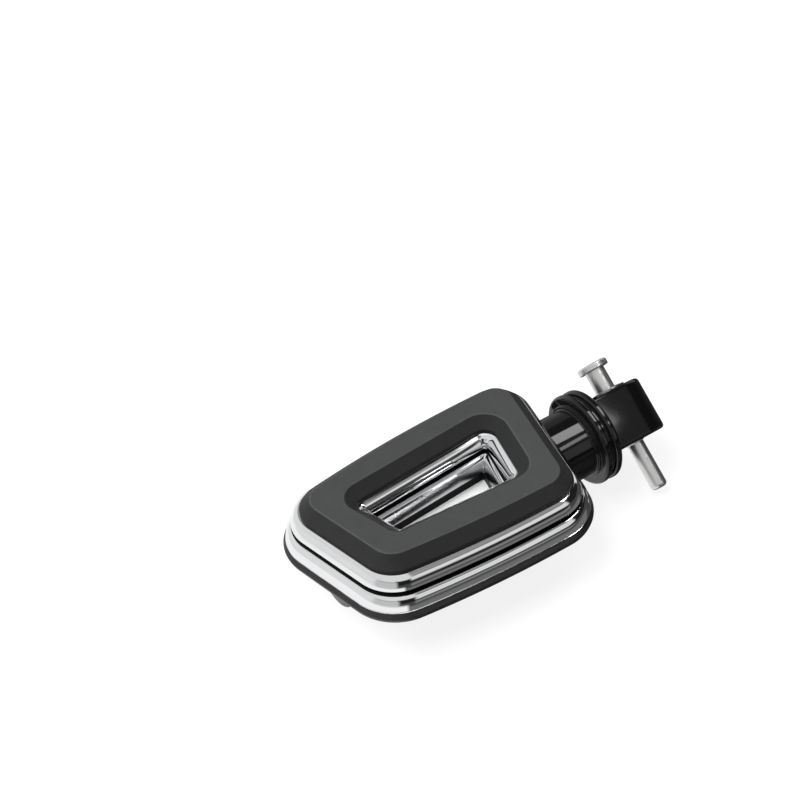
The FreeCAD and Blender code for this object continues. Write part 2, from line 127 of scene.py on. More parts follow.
# Fold pin along its line from the stem axis: head, shoulder and end
PIN_SEAT, PIN_HEAD_HEIGHT, PIN_HEAD = -0.02135, 0.0026, 0.0062
PIN_SHOULDER, PIN_END, PIN_END_ROUND = 0.0113, 0.031, 0.00155

# Camera's place from the stem centre, and the share of plain white that it sees in the floor
CAMERA_PLACE = (0.23437, 0.26197, 0.32967)
SENSOR_WIDTH = 36
FLOOR_WHITE = 0.86

# What the gloss mirrors, as light screens round the room.  Each has a level, the angles round where
# it starts and ends, their softness, the heights where it starts and ends, and their softness.
SCREENS = (
    (0.80, -98, 4, 34, -0.30, 0.44, 0.14),
    (0.58, -98, 54, 9, -0.30, 0.36, 0.12),
    (0.76, -98, 52, 8, 0.50, 1.50, 0.14),
    (1.00, -98, 69, 9, -1.50, -0.22, 0.16),
    (0.32, -122, -98, 6, 0.45, 0.90, 0.05),
    (0.76, 46, 88, 16, 0.54, 0.92, 0.10),
    (0.76, 94, 129, 9, 0.23, 0.54, 0.08),
    (0.21, 90, 129, 9, -0.12, -0.02, 0.07),
    (0.30, 94, 150, 9, 0.66, 0.80, 0.10),
    (0.17, 60, 165, 12, -0.55, -0.34, 0.26),
    (0.06, -180, 180, 1, -1.50, 0.04, 0.06),
    (0.80, -172, -136, 6, 0.05, 0.60, 0.06),
    (1.00, -180, 180, 1, 0.955, 1.50, 0.02),
    (0.014, -180, 180, 1, -1.50, 1.50, 0.10),
)

# Soft lamps: name, point aimed at along the stem, direction round and up, distance, width, height,
# power, and whether the lamp is there for gloss alone or for all but gloss
LAMPS = (
    ("key", 0.086, 335, 62, 1.0, 0.8, 0.8, 25.0, False),
    ("fill", 0.086, 200, 50, 1.0, 0.6, 0.6, 4.0, False),
    ("stem_strip", 0.032, 176, 63.5, 0.26, 0.125, 0.05, 0.165, True),
    ("stem_line", 0.032, 131, 46.5, 0.26, 0.05, 0.036, 0.030, True),
)
LAMP_AIM = (0.009, 0.010)


# ----- Sizes and colours that a user would change -----

def setting(kind, **kept):
    """A short word for one kind of setting, which takes its name, description and default."""
    def word(name, description, default):
        return kind(name=name, description=description, default=default, **kept)
    return word


length = setting(FloatProperty, unit="LENGTH", precision=5)
radians = setting(FloatProperty, subtype="ANGLE")
share = setting(FloatProperty, subtype="FACTOR", min=0.0, max=1.0)
colour = setting(FloatVectorProperty, subtype="COLOR", min=0.0, max=1.0)
strength = setting(FloatProperty)


def angle(name, description, degrees):
    """An angle, given in degrees and kept in radians."""
    return radians(name, description, math.radians(degrees))


class PegSizes(bpy.types.PropertyGroup):
    """Sizes of the peg, in the CAD model's own words."""

    tread_centre: length("Tread centre", "Middle of the tread, along the stem from the pin", 0.086)
    top_height: length("Top height", "Flat top of the tread above the stem axis", 0.0203)
    side_half: length("Half width", "Stem axis to the tread's long side", 0.0252)
    side_taper: angle("Side taper", "Lean of each long side towards the tip", 4.65)
    side_bow: length("Side bow", "Radius of the long sides' slight bow", 0.450)
    tip_end: length("Tip reach", "Tread centre to the tip end", 0.0374)
    tip_lean: angle("Tip slant", "Slant of the tip end", 15.2)
    root_end: length("Root reach", "Tread centre to the root end", 0.0421)
    root_lean: angle("Root slant", "Slant of the root end", 11.8)
    window_half: length("Window half width", "Stem axis to the window's long side", 0.0166)
    window_taper: angle("Window taper", "Lean of each long window side", 3.9)
    window_tip: length("Window tip reach", "Tread centre to the window's tip end", 0.0289)
    window_tip_lean: angle("Window tip slant", "Slant of the window's tip end", 18.3)
    window_root: length("Window root reach", "Tread centre to the window's root end", 0.0346)
    window_root_lean: angle("Window root slant", "Slant of the window's root end", 12.6)
    window_foot_corner: length("Window foot corner", "Corner radius at the window's foot", 0.0006)
    tread_round: length("Tread edge round", "Rounding of the rubber's top edges", 0.0011)
    floor_depth: length("Floor depth", "Window floor below the top of the tread", 0.0225)
    hub_radius: length("Hub radius", "Half-round hub under the base", 0.0138)
    hub_tip: length("Hub tip", "Tread centre to the end of the hub", 0.0465)
    hub_fillet: length("Hub fillet", "Blend of the hub into the base", 0.0022)
    shaft_radius: length("Shaft radius", "Radius of the round stem", 0.0138)
    collar_radius: length("Collar radius", "Radius of the collar's lips", 0.0186)
    collar_front: length("Collar front", "Fold pin to the collar's outer face", 0.0218)
    collar_width: length("Collar width", "Both lips and their groove", 0.0076)
    tongue_half: length("Tongue half height", "Half its height and the radius of its eye", 0.013)
    tongue_thickness: length("Tongue thickness", "Between the bracket's arms", 0.022)
    shank_radius: length("Pin shank radius", "Fold pin inside the tongue", 0.004)
    journal_radius: length("Pin journal radius", "Lower end of the fold pin", 0.00325)


class PegFinish(bpy.types.PropertyGroup):
    """Colours and gloss of the peg's finishes."""

    rubber: colour("Rubber", "Matte black tread rubber", (0.023, 0.0235, 0.024))
    rubber_roughness: share("Rubber roughness", "How dull the tread is", 0.62)
    chrome: colour("Chrome", "Bright plating of the ridges", (0.90, 0.905, 0.915))
    chrome_roughness: share("Chrome roughness", "How soft the plating's reflections are", 0.065)
    groove_black: colour("Groove black", "Black filled into the groove and the window's foot",
                         (0.0045, 0.0045, 0.005))
    base_black: colour("Base black", "Satin black of the underside", (0.0095, 0.0095, 0.010))
    stem_black: colour("Stem black", "Gloss black of the stem", (0.003, 0.003, 0.0033))
    zinc: colour("Zinc", "Bright zinc of the fold pin", (0.72, 0.72, 0.71))
    spring_steel: colour("Spring steel", "Plain steel of the washer", (0.42, 0.42, 0.43))
    black_oxide: colour("Black oxide", "Blackened screws", (0.07, 0.07, 0.072))


class PegStage(bpy.types.PropertyGroup):
    """Camera, floor and lamps."""

    azimuth: angle("Azimuth", "Direction of the camera round from the tip", 62.2)
    elevation: angle("Elevation", "Camera's height above the horizon", 42.0)
    roll: angle("Roll", "Camera's roll about its own line of sight", -6.57)
    focal: length("Focal length", "Lens on a 36 mm sensor", 0.0545)
    floor_gap: length("Floor gap", "Floor below the peg's lowest point", 0.0013)
    floor_colour: colour("Floor", "Plain pale floor", (0.80, 0.80, 0.80))
    room_light: strength("Room light", "Soft light from all round", 0.30)


# ----- Curves and surfaces -----

def eased(corners, radii, steps=7, hold=0.00012):
    """A profile of straight runs whose inner corners are rounded by arcs.

    Each corner p becomes the arc of its radius r tangent to both runs: centre = p + (r / sin h)
    times the bisector, h half the corner's angle.  A point is held on each run just outside the
    arc so that the flat beside it shades flat.  A radius of 0 keeps its corner.
    """
    corners = np.asarray(corners, float)
    points = [corners[0]]
    for index, radius in enumerate(radii, start=1):
        here = corners[index]
        if not radius:
            points.append(here)
            continue
        back = corners[index - 1] - here
        ahead = corners[index + 1] - here
        back /= np.linalg.norm(back)
        ahead /= np.linalg.norm(ahead)
        half = 0.5 * math.acos(np.clip(back @ ahead, -1, 1))
        reach = radius / math.tan(half)
        start = here + back * reach
        end = here + ahead * reach
        bisector = (back + ahead) / np.linalg.norm(back + ahead)
        centre = here + bisector * radius / math.sin(half)
        first, last = start - centre, end - centre
        sweep = math.pi - 2 * half
        turn = np.linspace(0, 1, steps)[:, None]
        arc = (np.sin((1 - turn) * sweep) * first + np.sin(turn * sweep) * last) / math.sin(sweep)
        points += [start + back * hold, *(centre + arc), end + ahead * hold]
    points.append(corners[-1])
    return np.array(points)


def sides_and_corners(reaches, leans, corners, bow=None):
    """Points and outward directions round a four-sided outline with tangent corner arcs.

    Side k lies square to the direction at angle lean k, at its reach from the centre; a bowed side
    is an arc of the bow radius there.  A corner centre is where the two sides, each moved in by the
    corner radius, meet: two lines, or a line and a circle.  Growing the outline by s adds s times
    the outward directions.
    """
    heading = np.stack([np.cos(leans), np.sin(leans)], axis=1)
    reaches = np.asarray(reaches, float)
    hubs = heading * (reaches - (bow or 0))[:, None]
    centres, starts, ends = [], [None] * 4, [None] * 4
    for k in range(4):
        after = (k + 1) % 4
        radius = corners[k]
        pair = np.stack([heading[k], heading[after]])
        centre = np.linalg.solve(pair, reaches[[k, after]] - radius)
        if bow:
            flat, bowed = (k, after) if k % 2 == 0 else (after, k)
            along = np.array([-heading[flat][1], heading[flat][0]])
            foot = heading[flat] * (reaches[flat] - radius)
            gap = foot - hubs[bowed]
            middle = -(gap @ along)
            span = math.sqrt(middle ** 2 - gap @ gap + (bow - radius) ** 2)
            choices = [foot + along * (middle + sign * span) for sign in (-1, 1)]
            centre = min(choices, key=lambda c: np.linalg.norm(c - centre))
        centres.append(centre)
        for side, ledger in ((k, ends), (after, starts)):
            if bow and side % 2:
                outward = (centre - hubs[side]) / np.linalg.norm(centre - hubs[side])
            else:
                outward = heading[side]
            ledger[side] = (centre + outward * radius, math.atan2(outward[1], outward[0]))
    points, outwards = [], []
    for k in range(4):
        (start, turn_0), (end, turn_1) = starts[k], ends[k]
        t = np.arange(SIDE_STEPS[k])[:, None] / SIDE_STEPS[k]
        turns = turn_0 + t * ((turn_1 - turn_0 + math.pi) % (2 * math.pi) - math.pi)
        directions = np.hstack([np.cos(turns), np.sin(turns)])
        straight = start + t * (end - start)
        points.append(hubs[k] + bow * directions if bow and k % 2 else straight)
        outwards.append(directions)
        next_turn = starts[(k + 1) % 4][1]
        t = np.arange(CORNER_STEPS)[:, None] / CORNER_STEPS
        turns = turn_1 + t * ((next_turn - turn_1) % (2 * math.pi))
        directions = np.hstack([np.cos(turns), np.sin(turns)])
        points.append(centres[k] + corners[k] * directions)
        outwards.append(directions)
    return np.vstack(points), np.vstack(outwards)


def grown(outline, profile, size):
    """Rings of an outline: ring j is the outline grown by the profile's spread j at its depth j."""
    points, outwards = outline
    profile = np.asarray(profile, float)
    flat = points[None] + profile[:, :1, None] * outwards[None]
    height = (size.top_height - profile[:, 1])[:, None, None]
    rings = np.concatenate([flat, np.broadcast_to(height, (*flat.shape[:2], 1))], axis=2)
    rings[..., 0] += size.tread_centre
    return rings


def turned(profile, line, across, steps=128):
    """Rings turned round a line through the stem centre: each is (distance along, radius)."""
    profile = np.asarray(profile, float)
    line, across = np.asarray(line, float), np.asarray(across, float)
    third = np.cross(line, across)
    turns = 2 * math.pi * np.arange(steps) / steps
    round_line = np.cos(turns)[:, None] * across + np.sin(turns)[:, None] * third
    return profile[:, :1, None] * line + profile[:, 1:, None] * round_line[None]


def skin(rings, closed=False, caps=(True, True), finishes=None):
    """Vertices and faces over a grid of rings, with an open end closed by a fan to its middle."""
    rows, columns = rings.shape[:2]
    vertices = rings.reshape(-1, 3)
    row = np.arange(rows if closed else rows - 1)
    column = np.arange(columns)
    a = (row[:, None] * columns + column[None]).ravel()
    b = (row[:, None] * columns + (column[None] + 1) % columns).ravel()
    c = (((row + 1) % rows)[:, None] * columns + (column[None] + 1) % columns).ravel()
    d = (((row + 1) % rows)[:, None] * columns + column[None]).ravel()
    faces = [np.stack([a, b, c, d], axis=1)]
    finishes = np.zeros(rows, int) if finishes is None else np.asarray(finishes)
    slots = [np.repeat(finishes[row], columns)]
    if not closed:
        for wanted, start, backward in ((caps[0], 0, True), (caps[1], (rows - 1) * columns, False)):
            if wanted:
                pole = len(vertices)
                ring = vertices[start:start + columns]
                vertices = np.vstack([vertices, ring.mean(axis=0)])
                one, two = start + column, start + (column + 1) % columns
                fan = (two, one) if backward else (one, two)
                faces.append(np.stack([*fan, np.full(columns, pole), np.full(columns, -1)], axis=1))
                slots.append(np.full(columns, slots[0][0 if backward else -1]))
    return vertices, np.vstack(faces), np.concatenate(slots)


def piece(name, skins, materials, sharp=None):
    """One object from one or more skins, with faces turned outward and shaded smooth."""
    vertices, faces, slots = [], [], []
    count = 0
    for points, corners, finish in skins:
        triangles = np.vstack([corners[:, :3], corners[corners[:, 3] >= 0][:, [0, 2, 3]]])
        p, q, r = (points[triangles[:, i]] for i in range(3))
        if np.einsum("ij,ij->i", p, np.cross(q, r)).sum() < 0:
            quads = corners[:, 3] >= 0
            corners = np.where(quads[:, None], corners[:, [3, 2, 1, 0]], corners[:, [2, 1, 0, 3]])
        vertices.append(points)
        faces.append(np.where(corners >= 0, corners + count, -1))
        slots.append(finish)
        count += len(points)
    vertices, faces = np.vstack(vertices) + STEM_CENTRE, np.vstack(faces)
    slots = np.concatenate(slots)
    sizes = np.where(faces[:, 3] >= 0, 4, 3)
    mesh = bpy.data.meshes.new(name)
    mesh.vertices.add(len(vertices))
    mesh.vertices.foreach_set("co", vertices.ravel().astype(np.float32))
    mesh.loops.add(int(sizes.sum()))
    mesh.loops.foreach_set("vertex_index", faces[faces >= 0].astype(np.int32))
    mesh.polygons.add(len(faces))
    fields = {"loop_start": np.cumsum(sizes) - sizes, "loop_total": sizes, "material_index": slots}
    for field, values in fields.items():
        mesh.polygons.foreach_set(field, values.astype(np.int32))
    mesh.update(calc_edges=True)
    mesh.validate()
    mesh.shade_smooth()
    if sharp is not None:
        mesh.set_sharp_from_angle(angle=math.radians(sharp))
    for material in materials:
        mesh.materials.append(material)
    made = bpy.data.objects.new(name, mesh)
    bpy.context.scene.collection.objects.link(made)
    return made


def carved(body, cutters):
    """Cuts closed shapes out of a piece, exactly, and keeps the result as its mesh."""
    for cutter in cutters:
        cut = body.modifiers.new("Cut", "BOOLEAN")
        cut.operation = "DIFFERENCE"
        cut.solver = "EXACT"
        cut.object = cutter
    bpy.context.view_layer.update()
    evaluated = body.evaluated_get(bpy.context.evaluated_depsgraph_get())
    mesh = bpy.data.meshes.new_from_object(evaluated)
    body.modifiers.clear()
    old, body.data = body.data, mesh
    mesh.name = body.name
    bpy.data.meshes.remove(old)
    for cutter in cutters:
        bpy.data.objects.remove(cutter)
    mesh.shade_smooth()
    mesh.set_sharp_from_angle(angle=math.radians(30))


def plug(radius, low, high, along, across):
    """An upright round cutter between two heights."""
    rings = turned([(low, radius), (high, radius)], (0, 0, 1), (1, 0, 0), 48)
    return piece("cutter", [skin(rings + (along, across, 0))], [])


def joined(first, second):
    """Adds the second piece's mesh to the first, as another closed shell of the same casting."""
    merged = bmesh.new()
    for part in (first, second):
        merged.from_mesh(part.data)
    merged.to_mesh(first.data)
    merged.free()
    bpy.data.objects.remove(second)


def outer_outline(size):
    """The tread's outline at its top edge."""
    leans = [size.tip_lean, math.pi / 2 - size.side_taper, math.pi - size.root_lean,
             1.5 * math.pi + size.side_taper]
    reaches = [size.tip_end, size.side_half, size.root_end, size.side_half]
    return sides_and_corners(reaches, leans, TREAD_CORNERS, size.side_bow)


def window_outline(size, corners, inset=0.0):
    """The window's outline at the tread's top edge, or drawn in by the inset."""
    leans = [size.window_tip_lean, math.pi / 2 - size.window_taper, math.pi - size.window_root_lean,
             1.5 * math.pi + size.window_taper]
    reaches = np.array([size.window_tip, size.window_half, size.window_root, size.window_half])
    return sides_and_corners(reaches - inset, leans, corners)


def sunk(size, profile):
    """Rings down the window, each drawn in from the tread's own corners.

    At inset s a corner of radius r at the top has radius r - s, and never less than the foot's.
    """
    rings = []
    for spread, depth in profile:
        corners = np.maximum(np.array(WINDOW_CORNERS) + spread, size.window_foot_corner)
        rings.append(grown(window_outline(size, corners, -spread), [(0.0, depth)], size))
    return np.concatenate(rings)


def round_foot(size, wall, depths):
    """Rings at some depths that stand a wall's width outside the foot of the window."""
    foot = RIDGE_TURNS[-1][0]
    outline = window_outline(size, (size.window_foot_corner + foot,) * 4)
    return grown(outline, [(wall - foot, depth) for depth in depths], size)


def crowned(turns, steps=8):
    """Bows the runs of a profile: a run with a swell s bulges out by 4 s t (1 - t), t from 0 to 1.

    Each turn is its spread, its depth, its rounding and the swell of the run that leads to it.
    """
    points, rounds = [turns[0][:2]], [turns[0][2]]
    for (spread, depth, rounding, swell), last in zip(turns[1:], turns[:-1]):
        if swell:
            start = np.array(last[:2])
            run = np.array([spread - last[0], depth - last[1]])
            outward = np.array([run[1], -run[0]]) / np.linalg.norm(run)
            for t in np.arange(1, steps) / steps:
                points.append(tuple(start + t * run + 4 * swell * t * (1 - t) * outward))
                rounds.append(0)
        points.append((spread, depth))
        rounds.append(rounding)
    return points, rounds


# ----- Finishes -----

class Nodes:
    """Short words for building one node tree."""

    def __init__(self, owner):
        owner.use_nodes = True
        self.tree = owner.node_tree
        self.tree.nodes.clear()

    def add(self, kind, inputs=None, **settings):
        """A new node with its settings, and values or other nodes' outputs at its inputs."""
        node = self.tree.nodes.new(kind)
        for field, setting in settings.items():
            setattr(node, field, setting)
        for slot, source in (inputs or {}).items():
            self.join(source, node.inputs[slot])
        return node

    def join(self, source, target):
        """Links an output to an input, or puts a value there."""
        if isinstance(source, bpy.types.NodeSocket):
            self.tree.links.new(source, target)
        else:
            target.default_value = source

    def coordinates(self, stretch=(1, 1, 1)):
        """Object coordinates, stretched."""
        inputs = {"Vector": self.add("ShaderNodeTexCoord").outputs["Object"], "Scale": stretch}
        return self.add("ShaderNodeMapping", inputs).outputs["Vector"]

    def noise(self, scale, detail=4.0, roughness=0.5, stretch=(1, 1, 1)):
        """A 0 to 1 pattern, scale to the metre."""
        inputs = {"Vector": self.coordinates(stretch), "Scale": scale, "Detail": detail,
                  "Roughness": roughness}
        return self.add("ShaderNodeTexNoise", inputs).outputs["Fac"]

    def range(self, source, low, high):
        """Carries a 0 to 1 pattern to a range of values."""
        inputs = {"Value": source, "To Min": low, "To Max": high}
        return self.add("ShaderNodeMapRange", inputs).outputs["Result"]

    def tint(self, source, first, second):
        """Mixes two colours by a 0 to 1 pattern."""
        inputs = {"Factor": source, "A": (*first, 1), "B": (*second, 1)}
        return self.add("ShaderNodeMix", inputs, data_type="RGBA").outputs["Result"]

    def mottled(self, source, tone, low, high):
        """Multiplies a worked-out colour by a pattern's range."""
        inputs = {0: tone, "Scale": self.range(source, low, high)}
        return self.add("ShaderNodeVectorMath", inputs, operation="SCALE").outputs[0]

    def depth_below_top(self, size):
        """How many millimetres the surface lies below the top of the tread."""
        top = STEM_CENTRE[2] + size.top_height
        parts = self.add("ShaderNodeSeparateXYZ", {0: self.coordinates()})
        return self.math("MULTIPLY", self.math("SUBTRACT", top, parts.outputs["Z"]), 1000.0)

    def steps(self, source, points, span):
        """A smooth curve through (place, value) points, with places from 0 to the span."""
        node = self.add("ShaderNodeValToRGB", {"Fac": self.math("DIVIDE", source, span)})
        ramp = node.color_ramp
        ramp.interpolation = "EASE"
        for place, value in points[1:-1]:
            ramp.elements.new(place / span)
        for element, (place, value) in zip(ramp.elements, points):
            element.position = place / span
            element.color = (value, value, value, 1)
        return node.outputs["Color"]

    def bump(self, heights):
        """Stacks bumps: each is a noise's settings with its strength and its depth in metres."""
        inputs = {}
        for pattern, strength, distance in heights:
            inputs |= {"Strength": strength, "Distance": distance, "Height": self.noise(*pattern)}
            inputs["Normal"] = self.add("ShaderNodeBump", inputs).outputs["Normal"]
        return inputs["Normal"]

    def math(self, operation, first, second):
        """Two values worked into one; each is a number or an output."""
        return self.add("ShaderNodeMath", {0: first, 1: second}, operation=operation).outputs[0]

    def between(self, source, low, high, soft):
        """1 between two values and 0 outside them, with smooth edges."""
        sides = []
        for start, end in ((low - soft, low), (high + soft, high)):
            inputs = {"Value": source, "From Min": start, "From Max": end}
            node = self.add("ShaderNodeMapRange", inputs, interpolation_type="SMOOTHSTEP")
            sides.append(node.outputs["Result"])
        return self.math("MULTIPLY", *sides)

    def background(self, level):
        """White light of a level that is set or worked out by nodes."""
        inputs = {"Color": (1, 1, 1, 1), "Strength": level}
        return self.add("ShaderNodeBackground", inputs).outputs[0]

    def choice(self, by, first, second):
        """A mix of two shaders: the first where by is 0 and the second where it is 1."""
        return self.add("ShaderNodeMixShader", {0: by, 1: first, 2: second}).outputs[0]

    def surface(self, tone, gloss=None, rough=None, bumps=(), **values):
        """The shader with a worked-out tone, a noise carried to a range of roughness, and bumps."""
        inputs = {field.replace("_", " "): setting for field, setting in values.items()}
        if gloss:
            inputs["Roughness"] = self.range(self.noise(*gloss), *rough)
        if bumps:
            inputs["Normal"] = self.bump(bumps)
        shader = self.add("ShaderNodeBsdfPrincipled", {"Base Color": tone, **inputs})
        self.add("ShaderNodeOutputMaterial", {"Surface": shader.outputs["BSDF"]})
        return shader.outputs["BSDF"]


def darker(tone, by):
    """A tone with each part multiplied."""
    return tuple(part * by for part in tone)


def material(name):
    """A new material and its nodes."""
    made = bpy.data.materials.new(name)
    return made, Nodes(made)


def rubber_finish(finish, size):
    """Moulded rubber: fine grain, faint mottling and dull sheen, with painted light: the top is
    painted paler than its bevels, as light from above would make it.

    The painted light follows the depth below the top: full over the first 0.15 mm, a painted
    highlight strongest on the rounded edge, gone by 0.5 mm.  The lowest millimetre, down in the
    gap, is painted darkest as shade.
    """
    made, nodes = material("tread_rubber")
    tone, rough = finish.rubber, finish.rubber_roughness
    # Painted light: the top paler than the bevels, a painted highlight on the rounded edge, painted
    # shade in the gap below.
    painted_light_steps = [(0.0, 0.62), (0.04, 0.62), (0.12, 1.0), (0.26, 0.9), (0.42, 0.12), (4.3, 0.14),
            (4.8, 0.0)]
    painted_light_mask = nodes.steps(nodes.depth_below_top(size), painted_light_steps, 5.0)
    rubber_with_painted_light = nodes.tint(painted_light_mask, darker(tone, 0.16), darker(tone, 1.55))
    nodes.surface(
        nodes.mottled(nodes.noise(160, 5, 0.6), rubber_with_painted_light, 0.84, 1.16),
        (420, 3), (rough - 0.07, rough + 0.08),
        [((5200, 3, 0.55), 0.35, 0.00006), ((1500, 2, 0.5), 0.2, 0.00008)],
        Specular_IOR_Level=0.42,
    )
    return made


def chrome_finish(finish):
    """Bright plating over a lightly polished casting: faint lines run along the ridges."""
    made, nodes = material("ridge_chrome")
    tone, rough = finish.chrome, finish.chrome_roughness
    plating = nodes.tint(nodes.noise(60, 4, 0.6), darker(tone, 0.96), tone)
    drawn = nodes.noise(1700, 3, 0.6, (0.02, 0.02, 1.0))
    nodes.surface(
        nodes.mottled(drawn, plating, 0.86, 1.08),
        (900, 3, 0.5, (0.12, 0.12, 1.0)), (rough - 0.02, rough + 0.035),
        [((2600, 2, 0.5, (0.03, 0.03, 1.0)), 0.05, 0.00002), ((90, 2, 0.5), 0.05, 0.0001)],
        Metallic=1.0,
    )
    return made


def window_shade_painted_finish(finish, size):
    """The plating low in the window, darkened up the lower ridge as painted shade in the recess.

    The tone falls from full at 15.6 mm below the top to seven tenths of it by 17.4 mm.
    """
    made, nodes = material("window_chrome_painted_shade")
    tone, rough = finish.chrome, finish.chrome_roughness
    # Painted shade: the plating darkened low on the lower ridge inside the window.
    painted_shade_steps = [(0.0, 1.0), (15.6, 1.0), (17.4, 0.7), (20.0, 0.66)]
    fade = nodes.steps(nodes.depth_below_top(size), painted_shade_steps, 20.0)
    painted_shade_tone = nodes.tint(fade, (0.0, 0.0, 0.0), tone)
    nodes.surface(
        nodes.mottled(nodes.noise(60, 4, 0.6), painted_shade_tone, 0.9, 1.0),
        (900, 3), (rough + 0.07, rough + 0.13), [((90, 2), 0.05, 0.0001)], Metallic=1.0,
    )
    return made


def plain_finish(name, tone, shades, mottle, gloss, rough, bumps, **shading):
    """One tone mottled between two shades of it by a noise, with uneven gloss and fine bumps."""
    made, nodes = material(name)
    first, second = (darker(tone, shade) for shade in shades)
    nodes.surface(nodes.tint(nodes.noise(*mottle), first, second), gloss, rough, bumps, **shading)
    return made


def floor_metal_finish(finish):
    """Satin plating on the window's floor."""
    return plain_finish(
        "window_floor_satin", finish.chrome, (0.66, 0.8), (120, 4, 0.6),
        (700, 3, 0.5, (0.2, 1.0, 1.0)), (0.24, 0.38), [((900, 3), 0.08, 0.00003)], Metallic=0.35,
    )


def groove_finish(finish):
    """Black fill in the groove and round the foot of the window."""
    return plain_finish(
        "groove_black", finish.groove_black, (0.7, 1.4), (240, 4),
        (500, 3), (0.26, 0.40), [((1800, 2), 0.1, 0.00003)], Specular_IOR_Level=0.04,
    )


def base_finish(finish):
    """Satin black paint on a casting."""
    return plain_finish(
        "base_satin_black", finish.base_black, (0.75, 1.25), (110, 5, 0.6),
        (300, 4), (0.30, 0.42), [((1400, 3), 0.12, 0.00006), ((130, 2), 0.08, 0.0002)],
        Specular_IOR_Level=0.4,
    )


def stem_finish(finish):
    """Gloss black enamel with a trace of orange peel."""
    return plain_finish(
        "stem_gloss_black", finish.stem_black, (0.8, 1.3), (80, 4),
        (350, 3), (0.05, 0.1), [((420, 2), 0.04, 0.0001)], Specular_IOR_Level=0.3, IOR=1.55,
    )


def metal_finish(name, tone, rough, scale, spread=0.15):
    """Bare or plated steel: mottled tone, uneven gloss and fine turning marks."""
    return plain_finish(
        name, tone, (1 - spread, 1.04), (scale, 5, 0.6), (scale * 3, 3),
        (rough - 0.04, rough + 0.05), [((scale * 4, 2), 0.02, 0.00002)], Metallic=1.0,
    )


# ----- Operators: one for each piece or group of like pieces -----

class PEG_OT_tread(bpy.types.Operator):
    """Rubber tread: a ring with a rounded flat top and wide bevels outside and down its window"""

    bl_idname = "peg.tread"
    bl_label = "Rubber tread"

    def execute(self, context):
        size, finish = context.scene.peg_sizes, context.scene.peg_finish
        profile = eased(
            [(-TREAD_LAND, 0), (0, 0), (BEVEL_SPREAD, BEVEL_DEPTH), (BEVEL_SPREAD, TREAD_DEPTH),
             (TREAD_LAND, TREAD_DEPTH)],
            [size.tread_round, BEVEL_ROUND, TREAD_FOOT_ROUND],
        )
        outside = grown(outer_outline(size), profile, size)
        inside = grown(window_outline(size, WINDOW_CORNERS), profile * (-1, 1), size)
        rings = np.concatenate([outside, inside[::-1]])
        tread = piece("rubber_tread", [skin(rings, closed=True)], [rubber_finish(finish, size)])
        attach(tread, "peg")
        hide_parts("tread_pad")
        return {"FINISHED"}


class PEG_OT_ridges(bpy.types.Operator):
    """Bright casting: two ridges with a black groove, outside and down the window to its floor"""

    bl_idname = "peg.ridges"
    bl_label = "Bright ridges"

    def execute(self, context):
        size, finish = context.scene.peg_sizes, context.scene.peg_finish
        foot = RIDGE_TURNS[-1][0]
        points, rounds = crowned(RIDGE_TURNS)
        outer = eased([(RIDGE_LAND, TREAD_DEPTH), *points, (RIDGE_FOOT_LAND, LOWER_FOOT)], rounds)
        window_turns = [(*turn[:3], swell) for turn, swell in zip(RIDGE_TURNS, WINDOW_SWELLS)]
        points, rounds = crowned(window_turns)
        inner = eased(
            [(-RIDGE_LAND, TREAD_DEPTH), (-WINDOW_STEP, TREAD_DEPTH),
             *[(-spread, depth) for spread, depth in points[1:]],
             (-foot, size.floor_depth), (-foot - FLOOR_LAND, size.floor_depth)],
            [*rounds[:-1], FLOOR_ROUND, FLOOR_ROUND],
        )
        rings = np.concatenate([
            sunk(size, inner[::-1]),
            grown(outer_outline(size), outer, size),
            round_foot(size, FLOOR_WALL, (LOWER_FOOT, size.floor_depth + FLOOR_PLATE)),
        ])
        depth = size.top_height - rings[:, 0, 2]
        middle = 0.5 * (depth[1:] + depth[:-1])
        floor = size.floor_depth - FLOOR_MARGIN
        groove = (middle > GROOVE_SPAN[0]) & (middle < GROOVE_SPAN[1])
        band = (middle > LOWER_FOOT) & (middle < floor)
        slots = np.append(groove | band, False).astype(int)
        low, low_slots = middle[:len(inner)], slots[:len(inner)]
        low_slots[low > floor] = 2
        # Slot 3 holds the lower ridge inside the window, where its plating is darkened as painted
        # shade.
        low_slots[(low > RIDGE_TURNS[-2][1]) & (low < LOWER_FOOT)] = 3
        ridges = piece(
            "bright_ridges", [skin(rings, finishes=slots)],
            [chrome_finish(finish), groove_finish(finish), floor_metal_finish(finish),
             window_shade_painted_finish(finish, size)],
        )
        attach(ridges, "peg")
        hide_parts("ridge_casting")
        return {"FINISHED"}


